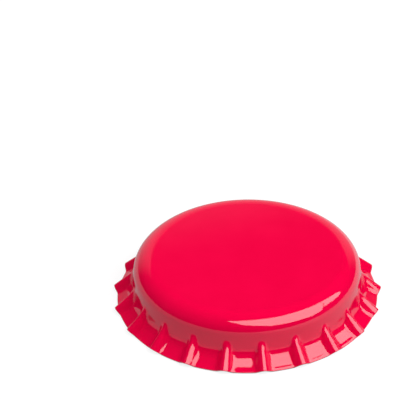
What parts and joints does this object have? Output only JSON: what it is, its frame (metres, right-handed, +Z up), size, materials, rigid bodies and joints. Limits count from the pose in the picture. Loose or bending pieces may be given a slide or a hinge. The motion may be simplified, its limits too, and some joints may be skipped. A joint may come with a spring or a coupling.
{
  "type": "bottle cap",
  "caption": "Round pressed-metal crown cap with a flat panel, rounded edge, flared fluted skirt and a sealing liner inside.",
  "frame": {"origin": "centre of the skirt's open end, in the plane that its lowest points rest on", "axes": "+Z up along the cap's axis, out through the closed panel"},
  "size_m": [0.0319, 0.032, 0.006],
  "materials": {
    "lacquered_tinplate": "glossy red lacquer outside over thin tinplate, bare metal inside",
    "liner_compound": "soft milky white moulded compound"
  },
  "bodies": {
    "root": {"crown_shell": "lacquered_tinplate", "sealing_liner": "liner_compound"}
  },
  "joints": []
}
